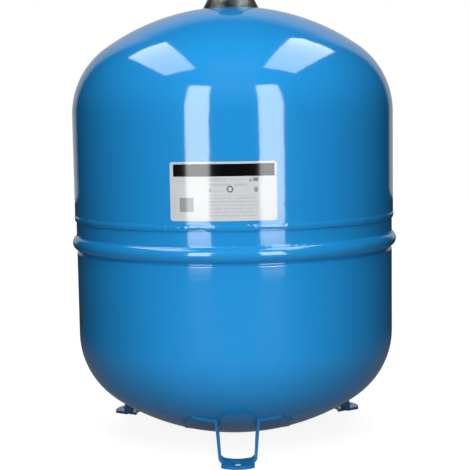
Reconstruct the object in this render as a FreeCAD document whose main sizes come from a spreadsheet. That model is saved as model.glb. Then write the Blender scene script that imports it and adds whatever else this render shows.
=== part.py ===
"""Diaphragm expansion tank: a two-part welded steel vessel that stands on three strap feet.

Millimetres, +Z up. The origin is on the floor, on the vessel's axis. The front foot points to -Y.
"""
import FreeCAD
import Part
import Sketcher
import math
import os
import re

# Driving sizes, in millimetres unless the name says otherwise.
SIZES = {
    # Vessel
    "shell_radius": 190.0,        # outside of the upper shell
    "shell_wall": 1.5,
    "upper_side": 123.0,          # straight side above the seam
    "upper_crown": 260.0,         # outside radius of the top of the upper head
    "upper_knuckle": 95.0,        # outside radius where the upper head turns into the side
    "lower_side": 136.0,          # straight side below the seam
    "lower_crown": 263.0,
    "lower_knuckle": 90.0,
    "head_clearance": 1.5,        # floor to the lower head's crown, had it no recess
    "lap_length": 14.0,           # how far the lower shell's rim reaches up inside the upper one
    # Swaged bead that holds the diaphragm's rim, and the groove under it that carries the clamp ring
    "bead_drop": 25.7,            # seam to the bead's middle
    "bead_radius": 9.0,
    "bead_rise": 4.9,             # how far it stands out of the lower shell
    "bead_blend": 3.0,
    "groove_depth": 1.8,
    "groove_radius": 1.5,         # outside of the shell, like the lip's below it
    "lip_radius": 2.0,
    # Recess for the air valve
    "recess_radius": 44.0,
    "recess_mouth": 8.0,          # rounding at its mouth
    "recess_corner": 6.0,
    "recess_floor": 48.0,         # height of its floor above the ground
    # Seam weld
    "weld_below": 1.0,            # seam to the run's lower edge
    "weld_above": 8.0,            # seam to its upper edge
    "weld_toe": 0.3,              # how far its face stands out at the seam
    "weld_ridge": 0.62,           # how far its ridge stands out
    "weld_low": 2.5,              # seam to the ridge's lower edge
    "weld_high": 5.0,
    # Water side
    "liner_gap": 0.2,             # liner to the lapped rim inside which it fits
    "liner_wall": 1.2,
    "liner_hole": 22.5,
    "diaphragm_gap": 3.0,         # liner to the diaphragm
    "diaphragm_wall": 2.5,
    "rim_above": 10.5,            # bead's middle to the top of the diaphragm's rim
    "rim_gap": 0.2,               # rim to the inside of the bead
    "clamp_wall": 2.5,
    "clamp_inset": 0.8,           # shell's inside to the ring's flange
    "clamp_gap": 0.1,             # groove to the flange that it carries
    "clamp_height": 24.0,
    # Water connection
    "boss_base": 33.6,            # radius where the cone meets the head
    "boss_shoulder": 20.5,        # radius at the cone's top
    "cone_height": 24.0,          # head's top to the shoulder
    "thread_radius": 16.6,        # outside of a G 1 male thread
    "thread_length": 22.0,
    "thread_chamfer": 1.5,
    "spigot_radius": 18.0,
    "bore_radius": 13.5,
    "boss_weld_leg": 3.0,
    "sleeve_wall": 1.5,
    "sleeve_flange": 25.0,        # radius
    "flange_wall": 1.2,
    # Air valve
    "stub_radius": 11.0,
    "stub_height": 9.0,
    "stub_spigot": 8.0,           # radius of the part that goes through the recess's floor
    "spigot_reach": 3.0,
    "stub_weld_leg": 3.0,
    "tail_radius": 4.2,           # stem's upper thread, in the stub
    "collar_flats": 14.0,
    "collar_height": 4.5,
    "stem_radius": 3.85,          # stem's lower thread, under the cap
    "stem_length": 11.5,
    "stem_chamfer": 0.5,
    "core_radius": 2.6,
    "core_room": 14.5,            # depth of the core's seat
    "air_way": 1.5,               # radius of the air way above the core
    "core_inset": 0.6,
    "plug_height": 4.0,
    "barrel_radius": 1.9,
    "barrel_height": 5.4,
    "spring_room": 1.3,           # radius inside the barrel
    "barrel_cap": 1.0,
    "pin_radius": 0.6,
    "pin_gap": 0.1,
    "pin_inset": 0.3,
    "poppet_radius": 1.5,
    "poppet_height": 1.2,
    "poppet_seal": 1.0,
    "pin_collar": 1.15,
    "collar_rise": 2.4,
    "collar_wall": 0.8,
    "wire_radius": 0.15,
    "spring_turns": 6.0,
    "seal_height": 2.0,
    "seal_rise": 1.9,
    "cap_radius": 7.6,
    "cap_wall": 1.4,
    "cap_gap": 0.1,
    "cap_skirt": 11.2,            # from the stem's end up to the cap's open end
    "gasket_height": 0.6,
    "gasket_hole": 1.8,
    "rib_radius": 0.6,
    "rib_inset": 1.2,             # cap's ends to the ribs' ends
    "rib_count": 18,
    # Feet
    "strap_wall": 3.0,
    "trim_turn": 90.0,            # degrees of the head's form that trims a leg
    "hole_inset": 26.0,           # outside of the vessel in to the bolt hole
    "hole_radius": 6.0,
    "tip_reach": 13.5,            # hole to the tongue's tip
    "tip_corner": 6.0,            # hole to the tongue's corners
    "tongue_width": 36.5,
    "pad_back": 18.0,             # hole to the pad's inner edge
    "pad_front": 8.0,             # hole to where the legs' front edges reach the pad
    "leg_front": 16.0,            # hole to the legs' front edges at the vessel
    "leg_back": 44.0,
    "leg_back_height": 30.0,
    "foot_width": 41.5,           # over the legs, at the floor
    "leg_lean": 4.0,              # each leg's outward lean
    "lean_height": 45.0,
    "strap_bend": 7.0,            # outside radius
    "wing_front": 48.5,           # half the width of the wings' front edge
    "wing_corner": 61.5,
    "wing_corner_back": 39.0,
    "wing_heel": 56.0,
    "wing_turn": 45.0,            # degrees of the head's form that a wing is cut from
    "foot_weld_leg": 3.0,
    "foot_weld_turn": 10.0,       # degrees
    "foot_weld_start": 14.0,      # degrees from the foot's middle
    # Data label
    "label_bottom": 10.5,         # above the seam
    "label_height": 61.5,
    "label_turn": 34.1,           # degrees
    "label_middle": -3.35,        # degrees from the front, minus is to the left
    "label_wall": 0.25,
    "label_corner": 3.0,
}

# Levels and radii that follow from the sizes above.
LEVELS = {
    "lower_inside": "shell_radius - 2 * shell_wall",
    "lower_radius": "shell_radius - shell_wall",
    "lower_ring": "lower_radius - lower_knuckle",
    "lower_centre": "head_clearance + lower_crown",
    "lower_tangent": "lower_centre - sqrt((lower_crown - lower_knuckle)^2 - lower_ring^2)",
    "seam": "lower_tangent + lower_side",
    "upper_tangent": "seam + upper_side",
    "upper_ring": "shell_radius - upper_knuckle",
    "upper_centre": "upper_tangent - sqrt((upper_crown - upper_knuckle)^2 - upper_ring^2)",
    "top": "upper_centre + upper_crown",
    "bead_middle": "seam - bead_drop",
    "bead_centre": "lower_radius + bead_rise - bead_radius",
    "groove_ring": "lower_radius - groove_depth + groove_radius",
    "groove_middle": "bead_middle - sqrt((bead_radius + groove_radius)^2 - (groove_ring - bead_centre)^2)",
    "lip_ring": "lower_radius - lip_radius",
    "lip_middle": "groove_middle - sqrt((groove_radius + lip_radius)^2 - (groove_ring - lip_ring)^2)",
    "clamp_radius": "lower_inside - clamp_inset",
    "clamp_drop": "groove_ring - clamp_radius",
    "clamp_seat": "groove_middle + sqrt((groove_radius + shell_wall)^2 - clamp_drop^2) + clamp_gap",
    "rim_top": "bead_middle + rim_above",
    "rim_bottom": "clamp_seat + clamp_wall",
    "liner_radius": "lower_inside - liner_gap",
    "bag_radius": "liner_radius - liner_wall - diaphragm_gap",
    "shoulder": "top + cone_height",
    "thread_end": "shoulder + thread_length",
    "liner_crown": "upper_crown - (shell_radius - liner_radius) - liner_wall",
    "flange_top": "upper_centre + sqrt(liner_crown^2 - sleeve_flange^2)",
    "stub_end": "recess_floor - stub_height",
    "collar_end": "stub_end - collar_height",
    "stem_end": "collar_end - stem_length",
    "core_end": "stem_end + core_inset",
    "plug_top": "core_end + plug_height",
    "barrel_top": "plug_top + barrel_height",
    "hole_circle": "shell_radius - hole_inset",
}

doc = FreeCAD.newDocument("expansion_tank")
sheet = doc.addObject("Spreadsheet::Sheet", "sizes")
for row, (name, number) in enumerate(SIZES.items(), start=1):
    sheet.set(f"A{row}", name)
    sheet.set(f"B{row}", str(number))
    sheet.setAlias(f"B{row}", name)
doc.recompute()
levels = doc.addObject("App::VarSet", "levels")


def formula(text):
    """Point each size and level named in the text at the cell or property that holds it."""
    def place(word):
        name = word.group()
        if name in SIZES:
            return "sizes." + name
        if name in LEVELS:
            return "levels." + name
        return name
    return re.sub(r"[a-z_]+", place, text)


def amount(text):
    """The number that a formula gives now."""
    return float(sheet.evalExpression(formula(text)))


for name, text in LEVELS.items():
    levels.addProperty("App::PropertyFloat", name)
    levels.setExpression(name, formula(text))
    levels.recompute()
doc.recompute()


def bind(item, **formulas):
    """Tie each named property of an object to its formula."""
    for prop, text in formulas.items():
        item.setExpression(prop, formula(text))


class Outline:
    """A sketch drawn with a pen: lines and arcs end to end, with their sizes tied to the sheet."""

    def __init__(self, sketch, across, up):
        self.sketch = sketch
        self.here = FreeCAD.Vector(across, up, 0)
        self.first = None
        self.last = None

    def join(self, index, near, far, smooth):
        if self.last is None:
            self.first = (index, near)
        else:
            kind = "Tangent" if smooth else "Coincident"
            self.sketch.addConstraint(Sketcher.Constraint(kind, *self.last, index, near))
        self.last = (index, far)

    def line(self, across, up, smooth=False, way=None):
        """A line to a point. way is Horizontal, Vertical or None."""
        target = FreeCAD.Vector(across, up, 0)
        index = self.sketch.addGeometry(Part.LineSegment(self.here, target))
        self.join(index, 1, 2, smooth)
        if way:
            self.sketch.addConstraint(Sketcher.Constraint(way, index))
        self.here = target
        return index

    def arc(self, centre, across, up, left=True, smooth=True):
        """An arc round a centre to a point. left is counterclockwise."""
        middle = FreeCAD.Vector(*centre, 0)
        target = FreeCAD.Vector(across, up, 0)
        ends = (self.here, target) if left else (target, self.here)
        angles = [math.atan2(end.y - middle.y, end.x - middle.x) for end in ends]
        circle = Part.Circle(middle, FreeCAD.Vector(0, 0, 1), (self.here - middle).Length)
        index = self.sketch.addGeometry(Part.ArcOfCircle(circle, *angles))
        self.join(index, *((1, 2) if left else (2, 1)), smooth)
        self.here = target
        return index

    def close(self):
        self.sketch.addConstraint(Sketcher.Constraint("Coincident", *self.last, *self.first))

    def rule(self, kind, *parts):
        self.sketch.addConstraint(Sketcher.Constraint(kind, *parts))

    def measure(self, kind, *parts):
        """A driving size: the last part is its formula."""
        *where, text = parts
        number = self.sketch.addConstraint(Sketcher.Constraint(kind, *where, amount(text)))
        self.sketch.setExpression(f"Constraints[{number}]", formula(text))

    def across(self, index, end, text):
        self.measure("DistanceX", -1, 1, index, end, text)

    def up(self, index, end, text):
        self.measure("DistanceY", -1, 1, index, end, text)

    def radius(self, index, text):
        self.measure("Radius", index, text)


def new_body(label):
    body = doc.addObject("PartDesign::Body", label)
    body.Label = label
    return body


def body_sketch(body, name, role="XZ_Plane"):
    """A sketch on one of the body's own origin planes."""
    sketch = body.newObject("Sketcher::SketchObject", name)
    plane = [item for item in body.Origin.OriginFeatures if item.Role == role][0]
    sketch.AttachmentSupport = [(plane, "")]
    sketch.MapMode = "FlatFace"
    return sketch


def spin(body, sketch, kind="Revolution"):
    """Turn a profile fully round the sketch's upright axis, to add or to cut."""
    feature = body.newObject("PartDesign::" + kind, kind.lower() + "_" + sketch.Name)
    feature.Profile = sketch
    feature.ReferenceAxis = (sketch, ["V_Axis"])
    feature.Angle = 360
    body.Tip = feature
    return feature


def turned(label, corners, name="section", body=None, kind="Revolution"):
    """A turned form. Each corner is a pair of formulas: radius and height."""
    body = body or new_body(label)
    sketch = body_sketch(body, f"{label}_{name}")
    points = [(amount(across), amount(up)) for across, up in corners]
    pen = Outline(sketch, *points[0])
    for number, point in enumerate(points[1:] + points[:1]):
        pen.line(*point)
        target = corners[(number + 1) % len(corners)]
        pen.across(number, 2, target[0])
        pen.up(number, 2, target[1])
    pen.close()
    spin(body, sketch, kind)
    return body


def head_points(centre, ring, tangent, crown, knuckle, reach):
    """Where a head's crown arc starts, at a reach from the axis, and where it meets its knuckle."""
    start = (reach, centre + math.sqrt(crown ** 2 - reach ** 2))
    share = crown / (crown - knuckle)
    meet = (ring * share, centre + (tangent - centre) * share)
    return start, meet


def dome_outline(sketch, side, wall, bottom, hole=None):
    """The section of a dome that nests in the upper head: straight side, knuckle and crown.

    side, wall, bottom and hole are formulas. Returns the pen at the inner side's lower end.
    """
    inset = f"(shell_radius - ({side}))"
    ring = amount("upper_ring")
    tangent = amount("upper_tangent")
    centre = amount("upper_centre")
    outside = amount(side)
    thick = amount(wall)
    crown = amount(f"upper_crown - {inset}")
    knuckle = amount(f"upper_knuckle - {inset}")
    edge = amount(hole) if hole else 0.0
    start, meet = head_points(centre, ring, tangent, crown, knuckle, edge)
    inner_start, inner_meet = head_points(centre, ring, tangent, crown - thick, knuckle - thick, edge)
    pen = Outline(sketch, outside, amount(bottom))
    outer_side = pen.line(outside, tangent, way="Vertical")
    outer_knuckle = pen.arc((ring, tangent), *meet)
    outer_crown = pen.arc((0, centre), *start)
    hole_edge = pen.line(*inner_start, way="Vertical")
    inner_crown = pen.arc((0, centre), *inner_meet, left=False, smooth=False)
    inner_knuckle = pen.arc((ring, tangent), outside - thick, tangent, left=False)
    pen.rule("Coincident", outer_knuckle, 3, inner_knuckle, 3)
    pen.rule("Coincident", outer_crown, 3, inner_crown, 3)
    pen.rule("PointOnObject", outer_crown, 3, -2)
    pen.across(outer_side, 1, side)
    pen.up(outer_side, 1, bottom)
    pen.up(outer_side, 2, "upper_tangent")
    pen.radius(outer_knuckle, f"upper_knuckle - {inset}")
    pen.radius(outer_crown, f"upper_crown - {inset}")
    if hole:
        pen.across(hole_edge, 1, hole)
    else:
        pen.rule("PointOnObject", hole_edge, 1, -2)
    return pen


def make_dome(label, side, wall, bottom, hole):
    """A drawn or moulded dome with a hole at its top and a plain lower rim."""
    body = new_body(label)
    sketch = body_sketch(body, label + "_section")
    pen = dome_outline(sketch, side, wall, bottom, hole)
    outside = amount(side)
    inner_side = pen.line(outside - amount(wall), amount(bottom), smooth=True, way="Vertical")
    pen.line(outside, amount(bottom), way="Horizontal")
    pen.close()
    pen.across(inner_side, 2, f"{side} - {wall}")
    spin(body, sketch)


def make_lower_shell():
    """Bottom shell: lapped rim, swaged bead, straight side, head, and the air valve's recess."""
    body = new_body("lower_shell")
    sketch = body_sketch(body, "lower_shell_section")
    wall = amount("shell_wall")
    side = amount("lower_radius")
    ring = amount("lower_ring")
    tangent = amount("lower_tangent")
    centre = amount("lower_centre")
    crown = amount("lower_crown")
    knuckle = amount("lower_knuckle")
    rim = amount("seam + lap_length")
    bead = (amount("bead_centre"), amount("bead_middle"))
    bead_size = amount("bead_radius")
    blend = amount("bead_blend")
    blend_at = side + blend
    high = (blend_at, bead[1] + math.sqrt((bead_size + blend) ** 2 - (blend_at - bead[0]) ** 2))
    groove = (amount("groove_ring"), amount("groove_middle"))
    groove_size = amount("groove_radius")
    edge = (amount("lip_ring"), amount("lip_middle"))
    mouth = amount("recess_mouth")
    recess = amount("recess_radius")
    corner = amount("recess_corner")
    floor = amount("recess_floor")
    hole = amount("stub_spigot")
    lip = (recess + mouth, centre - math.sqrt((crown - mouth) ** 2 - (recess + mouth) ** 2))
    bend = (recess - corner, floor - corner)

    def between(one, other, size):
        """The point at a distance from one centre, on the line to the other."""
        gap = math.hypot(other[0] - one[0], other[1] - one[1])
        return (one[0] + (other[0] - one[0]) * size / gap, one[1] + (other[1] - one[1]) * size / gap)

    def away(one, other, size):
        """The point at a distance from one centre, on the line from the other and past it."""
        return between(one, other, -size)

    pen = Outline(sketch, side, rim)
    drawn = []
    for inset in (0.0, wall):
        stops = {
            "rim": (side - inset, rim),
            "high": (side - inset, high[1]),
            "bead_in": between(high, bead, blend + inset),
            "bead_out": between(groove, bead, groove_size + inset),
            "groove_out": between(groove, edge, groove_size + inset),
            "low": (side - inset, edge[1]),
            "tangent": (side - inset, tangent),
            "meet": away((ring, tangent), (0, centre), knuckle - inset),
            "lip": away(lip, (0, centre), mouth - inset),
            "recess": (recess + inset, lip[1]),
            "bend": (recess + inset, bend[1]),
            "floor": (bend[0], floor + inset),
            "hole": (hole, floor + inset),
        }
        if inset == 0.0:
            drawn.append([
                pen.line(*stops["high"], way="Vertical"),
                pen.arc(high, *stops["bead_in"], left=True),
                pen.arc(bead, *stops["bead_out"], left=False),
                pen.arc(groove, *stops["groove_out"], left=True),
                pen.arc(edge, *stops["low"], left=False),
                pen.line(*stops["tangent"], smooth=True, way="Vertical"),
                pen.arc((ring, tangent), *stops["meet"], left=False),
                pen.arc((0, centre), *stops["lip"], left=False),
                pen.arc(lip, *stops["recess"], left=False),
                pen.line(*stops["bend"], smooth=True, way="Vertical"),
                pen.arc(bend, *stops["floor"], left=True),
                pen.line(*stops["hole"], smooth=True, way="Horizontal"),
            ])
            hole_edge = pen.line(hole, floor + wall, way="Vertical")
        else:
            drawn.append([
                pen.line(*stops["floor"], way="Horizontal"),
                pen.arc(bend, *stops["bend"], left=False),
                pen.line(*stops["recess"], smooth=True, way="Vertical"),
                pen.arc(lip, *stops["lip"], left=True),
                pen.arc((0, centre), *stops["meet"], left=True),
                pen.arc((ring, tangent), *stops["tangent"], left=True),
                pen.line(*stops["low"], smooth=True, way="Vertical"),
                pen.arc(edge, *stops["groove_out"], left=True),
                pen.arc(groove, *stops["bead_out"], left=False),
                pen.arc(bead, *stops["bead_in"], left=True),
                pen.arc(high, *stops["high"], left=False),
                pen.line(*stops["rim"], smooth=True, way="Vertical"),
            ][::-1])
            pen.line(side, rim, way="Horizontal")
    pen.close()
    outer, inner = drawn
    lap, blend_in, swage, hollow, lip_arc, flank, turn_in, dome, mouth_arc, well, foot_arc, base = range(12)
    for number in (blend_in, swage, hollow, lip_arc, turn_in, dome, mouth_arc, foot_arc):
        pen.rule("Coincident", outer[number], 3, inner[number], 3)
    pen.across(outer[lap], 1, "lower_radius")
    pen.up(outer[lap], 1, "seam + lap_length")
    pen.across(inner[lap], 2, "lower_inside")
    pen.radius(outer[blend_in], "bead_blend")
    pen.radius(outer[swage], "bead_radius")
    pen.radius(outer[hollow], "groove_radius")
    pen.across(outer[hollow], 3, "groove_ring")
    pen.radius(outer[lip_arc], "lip_radius")
    pen.across(outer[swage], 3, "bead_centre")
    pen.up(outer[swage], 3, "bead_middle")
    pen.across(outer[flank], 1, "lower_radius")
    pen.up(outer[flank], 2, "lower_tangent")
    pen.radius(outer[turn_in], "lower_knuckle")
    pen.radius(outer[dome], "lower_crown")
    pen.rule("PointOnObject", outer[dome], 3, -2)
    pen.radius(outer[mouth_arc], "recess_mouth")
    pen.across(outer[well], 1, "recess_radius")
    pen.radius(outer[foot_arc], "recess_corner")
    pen.up(outer[base], 2, "recess_floor")
    pen.across(hole_edge, 1, "stub_spigot")
    spin(body, sketch)


def make_diaphragm():
    """Moulded rubber bag with a thick rim that fills the shell's bead."""
    body = new_body("diaphragm")
    sketch = body_sketch(body, "diaphragm_section")
    rim_top = amount("rim_top")
    rim_bottom = amount("rim_bottom")
    inner = amount("bag_radius - diaphragm_wall")
    outer = amount("liner_radius")
    seat = amount("liner_radius - liner_wall")
    gap = amount("diaphragm_gap")
    bead = (amount("bead_centre"), amount("bead_middle"))
    round_size = amount("bead_radius - shell_wall - rim_gap")
    reach = math.sqrt(round_size ** 2 - (outer - bead[0]) ** 2)
    foot = bead[0] + math.sqrt(round_size ** 2 - (bead[1] - rim_bottom) ** 2)
    pen = dome_outline(sketch, "bag_radius", "diaphragm_wall", "rim_top + diaphragm_gap")
    inner_side = pen.line(inner, rim_bottom, smooth=True, way="Vertical")
    pen.line(foot, rim_bottom, way="Horizontal")
    swell = pen.arc(bead, outer, bead[1] + reach, smooth=False)
    high = pen.line(outer, rim_top, way="Vertical")
    ledge = pen.line(seat, rim_top, way="Horizontal")
    pen.arc((seat, rim_top + gap), outer - amount("liner_wall") - gap, rim_top + gap, left=False)
    pen.close()
    pen.across(inner_side, 2, "bag_radius - diaphragm_wall")
    pen.up(inner_side, 2, "rim_bottom")
    pen.across(swell, 3, "bead_centre")
    pen.up(swell, 3, "bead_middle")
    pen.radius(swell, "bead_radius - shell_wall - rim_gap")
    pen.across(high, 2, "liner_radius")
    pen.up(high, 2, "rim_top")
    pen.across(ledge, 2, "liner_radius - liner_wall")
    spin(body, sketch)


def make_connection_boss():
    """Conical boss with a male thread; its base fits the head and its spigot goes through it."""
    body = new_body("connection_boss")
    sketch = body_sketch(body, "connection_boss_section")
    bore = amount("bore_radius")
    spigot = amount("spigot_radius")
    base = amount("boss_base")
    thread = amount("thread_radius")
    chamfer = amount("thread_chamfer")
    bottom = amount("flange_top")
    shoulder = amount("shoulder")
    end = amount("thread_end")
    centre = amount("upper_centre")
    crown = amount("upper_crown")
    pen = Outline(sketch, bore, bottom)
    foot = pen.line(spigot, bottom, way="Horizontal")
    neck = pen.line(spigot, centre + math.sqrt(crown ** 2 - spigot ** 2), way="Vertical")
    seat = pen.arc((0, centre), base, centre + math.sqrt(crown ** 2 - base ** 2), left=False, smooth=False)
    cone = pen.line(amount("boss_shoulder"), shoulder)
    pen.line(thread, shoulder, way="Horizontal")
    flank = pen.line(thread, end - chamfer, way="Vertical")
    lead = pen.line(thread - chamfer, end)
    pen.line(bore, end, way="Horizontal")
    pen.line(bore, bottom, way="Vertical")
    pen.close()
    pen.across(foot, 1, "bore_radius")
    pen.up(foot, 1, "flange_top")
    pen.across(neck, 1, "spigot_radius")
    pen.rule("PointOnObject", seat, 3, -2)
    pen.up(seat, 3, "upper_centre")
    pen.radius(seat, "upper_crown")
    pen.across(cone, 1, "boss_base")
    pen.across(cone, 2, "boss_shoulder")
    pen.up(cone, 2, "shoulder")
    pen.across(flank, 1, "thread_radius")
    pen.up(flank, 2, "thread_end - thread_chamfer")
    pen.across(lead, 2, "thread_radius - thread_chamfer")
    pen.up(lead, 2, "thread_end")
    spin(body, sketch)


def make_water_side():
    """What the water meets: liner, sleeve and diaphragm, with the ring that clamps the rim."""
    make_dome("water_liner", "liner_radius", "liner_wall", "rim_top", "liner_hole")
    make_diaphragm()
    clamp_in = "bag_radius - diaphragm_wall - clamp_wall"
    turned("clamp_ring", [
        (clamp_in, "clamp_seat"),
        ("clamp_radius", "clamp_seat"),
        ("clamp_radius", "rim_bottom"),
        ("bag_radius - diaphragm_wall", "rim_bottom"),
        ("bag_radius - diaphragm_wall", "clamp_seat + clamp_height"),
        (clamp_in, "clamp_seat + clamp_height"),
    ])
    make_connection_boss()
    under_head = "upper_centre + sqrt((upper_crown - shell_wall)^2 - {}^2)"
    at_spigot = under_head.format("spigot_radius")
    turned("boss_weld", [
        ("spigot_radius", at_spigot + " - boss_weld_leg"),
        ("spigot_radius + boss_weld_leg", under_head.format("(spigot_radius + boss_weld_leg)")),
        ("spigot_radius", at_spigot),
    ])
    turned("bore_sleeve", [
        ("bore_radius - sleeve_wall", "flange_top - flange_wall"),
        ("sleeve_flange", "flange_top - flange_wall"),
        ("sleeve_flange", "flange_top"),
        ("bore_radius", "flange_top"),
        ("bore_radius", "thread_end"),
        ("bore_radius - sleeve_wall", "thread_end"),
    ])


def make_seam_weld():
    """Weld run over the upper shell's edge: a low ridge on the lower shell and the upper one."""
    turned("seam_weld", [
        ("lower_radius", "seam - weld_below"),
        ("shell_radius + weld_toe", "seam"),
        ("shell_radius + weld_ridge", "seam + weld_low"),
        ("shell_radius + weld_ridge", "seam + weld_high"),
        ("shell_radius", "seam + weld_above"),
        ("shell_radius", "seam"),
        ("lower_radius", "seam"),
    ])


def make_air_valve():
    """Stub welded in the recess, brass stem, sprung valve core and screw cap, all pointing down."""
    stub_top = "recess_floor + shell_wall + spigot_reach"
    turned("valve_stub", [
        ("tail_radius", "stub_end"),
        ("stub_radius", "stub_end"),
        ("stub_radius", "recess_floor"),
        ("stub_spigot", "recess_floor"),
        ("stub_spigot", stub_top),
        ("tail_radius", stub_top),
    ])
    turned("stub_weld", [
        ("stub_radius", "recess_floor - stub_weld_leg"),
        ("stub_radius + stub_weld_leg", "recess_floor"),
        ("stub_radius", "recess_floor"),
    ])
    stem = new_body("valve_stem")
    collar = stem.newObject("PartDesign::AdditivePrism", "stem_collar")
    collar.Polygon = 6
    bind(collar, Circumradius="collar_flats / sqrt(3)", Height="collar_height")
    collar.setExpression("Placement.Base.z", formula("collar_end"))
    stem.Tip = collar
    doc.recompute()
    turned("valve_stem", [
        ("0", "stem_end"),
        ("stem_radius - stem_chamfer", "stem_end"),
        ("stem_radius", "stem_end + stem_chamfer"),
        ("stem_radius", "collar_end"),
        ("tail_radius", "collar_end"),
        ("tail_radius", stub_top),
        ("0", stub_top),
    ], name="outside", body=stem)
    turned("valve_stem", [
        ("0", "stem_end"),
        ("core_radius", "stem_end"),
        ("core_radius", "stem_end + core_room"),
        ("air_way", "stem_end + core_room"),
        ("air_way", stub_top),
        ("0", stub_top),
    ], name="bore", body=stem, kind="Groove")
    turned("valve_core", [
        ("spring_room", "core_end"),
        ("core_radius", "core_end"),
        ("core_radius", "plug_top"),
        ("barrel_radius", "plug_top"),
        ("barrel_radius", "barrel_top"),
        ("pin_radius + pin_gap", "barrel_top"),
        ("pin_radius + pin_gap", "barrel_top - barrel_cap"),
        ("spring_room", "barrel_top - barrel_cap"),
    ])
    turned("core_seal", [
        ("barrel_radius", "plug_top + seal_rise"),
        ("core_radius", "plug_top + seal_rise"),
        ("core_radius", "plug_top + seal_rise + seal_height"),
        ("barrel_radius", "plug_top + seal_rise + seal_height"),
    ])
    poppet = "barrel_top + poppet_seal"
    turned("valve_pin", [
        ("0", "stem_end + pin_inset"),
        ("pin_radius", "stem_end + pin_inset"),
        ("pin_radius", "core_end + collar_rise"),
        ("pin_collar", "core_end + collar_rise"),
        ("pin_collar", "core_end + collar_rise + collar_wall"),
        ("pin_radius", "core_end + collar_rise + collar_wall"),
        ("pin_radius", poppet),
        ("poppet_radius", poppet),
        ("poppet_radius", poppet + " + poppet_height"),
        ("0", poppet + " + poppet_height"),
    ])
    turned("poppet_seal_ring", [
        ("pin_radius", "barrel_top"),
        ("poppet_radius", "barrel_top"),
        ("poppet_radius", poppet),
        ("pin_radius", poppet),
    ])
    spring_foot = "core_end + collar_rise + collar_wall"
    coil = "(pin_collar + pin_radius + wire_radius) / 2"
    spring = new_body("valve_spring")
    wire = body_sketch(spring, "spring_wire")
    circle = Part.Circle(FreeCAD.Vector(amount(coil), amount(spring_foot + " + wire_radius"), 0),
                         FreeCAD.Vector(0, 0, 1), amount("wire_radius"))
    section = wire.addGeometry(circle)
    pen = Outline(wire, 0, 0)
    pen.radius(section, "wire_radius")
    pen.across(section, 3, coil)
    pen.up(section, 3, spring_foot + " + wire_radius")
    helix = spring.newObject("PartDesign::AdditiveHelix", "spring_helix")
    helix.Profile = wire
    helix.ReferenceAxis = (wire, ["V_Axis"])
    helix.Mode = "height-turns-angle"
    room = f"barrel_top - barrel_cap - ({spring_foot}) - 2 * wire_radius"
    bind(helix, Height=room, Turns="spring_turns")
    spring.Tip = helix

    cap = turned("valve_cap", [
        ("0", "stem_end - gasket_height - cap_wall"),
        ("cap_radius", "stem_end - gasket_height - cap_wall"),
        ("cap_radius", "stem_end + cap_skirt"),
        ("stem_radius + cap_gap", "stem_end + cap_skirt"),
        ("stem_radius + cap_gap", "stem_end - gasket_height"),
        ("0", "stem_end - gasket_height"),
    ])
    rib = cap.newObject("PartDesign::AdditiveCylinder", "cap_rib")
    bind(rib, Radius="rib_radius", Height="cap_skirt + gasket_height + cap_wall - 2 * rib_inset")
    rib.setExpression("Placement.Base.x", formula("cap_radius"))
    rib.setExpression("Placement.Base.z", formula("stem_end - gasket_height - cap_wall + rib_inset"))
    cap.Tip = rib
    doc.recompute()
    ribs = cap.newObject("PartDesign::PolarPattern", "cap_ribs")
    ribs.Originals = [rib]
    ribs.Axis = (doc.getObject("valve_cap_section"), ["V_Axis"])
    ribs.Angle = 360
    bind(ribs, Occurrences="rib_count")
    cap.Tip = ribs
    turned("cap_gasket", [
        ("gasket_hole", "stem_end - gasket_height"),
        ("stem_radius", "stem_end - gasket_height"),
        ("stem_radius", "stem_end"),
        ("gasket_hole", "stem_end"),
    ])


# Sketch planes for the feet and the label, which look out from the vessel's axis to the front.
OUT_AND_UP = FreeCAD.Placement(
    FreeCAD.Vector(0, 0, 0),
    FreeCAD.Rotation(FreeCAD.Vector(0, -1, 0), FreeCAD.Vector(0, 0, 1), FreeCAD.Vector(-1, 0, 0), "XYZ"),
)
SIDE_AND_UP = FreeCAD.Placement(
    FreeCAD.Vector(0, 0, 0),
    FreeCAD.Rotation(FreeCAD.Vector(1, 0, 0), FreeCAD.Vector(0, 0, 1), FreeCAD.Vector(0, -1, 0), "XYZ"),
)
SIDE_AND_OUT = FreeCAD.Placement(
    FreeCAD.Vector(0, 0, 0),
    FreeCAD.Rotation(FreeCAD.Vector(1, 0, 0), FreeCAD.Vector(0, -1, 0), FreeCAD.Vector(0, 0, -1), "XYZ"),
)


def free_sketch(name, placement):
    sketch = doc.addObject("Sketcher::SketchObject", name)
    sketch.Placement = placement
    return sketch


def flat_outline(name, placement, corners):
    """A sketch of straight edges. Each corner is a pair of formulas."""
    sketch = free_sketch(name, placement)
    points = [(amount(across), amount(up)) for across, up in corners]
    pen = Outline(sketch, *points[0])
    for number, point in enumerate(points[1:] + points[:1]):
        pen.line(*point)
        target = corners[(number + 1) % len(corners)]
        pen.across(number, 2, target[0])
        pen.up(number, 2, target[1])
    pen.close()
    return sketch


def extrude(name, sketch, way, length):
    """Push a sketch along a direction; the length is a formula."""
    item = doc.addObject("Part::Extrusion", name)
    item.Base = sketch
    item.DirMode = "Custom"
    item.Dir = FreeCAD.Vector(*way)
    item.Solid = True
    bind(item, LengthFwd=length)
    return item


def revolve(name, sketch, angle):
    """Turn a sketch round the vessel's axis; the angle is a formula in degrees."""
    item = doc.addObject("Part::Revolution", name)
    item.Source = sketch
    item.Axis = FreeCAD.Vector(0, 0, 1)
    item.Solid = True
    bind(item, Angle=angle)
    return item


def combine(kind, name, *items):
    """A boolean of two or more shapes: Common, Cut or MultiFuse."""
    item = doc.addObject("Part::" + kind, name)
    if kind == "MultiFuse":
        item.Shapes = list(items)
        item.Refine = True
    else:
        item.Base, item.Tool = items
    return item


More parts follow.
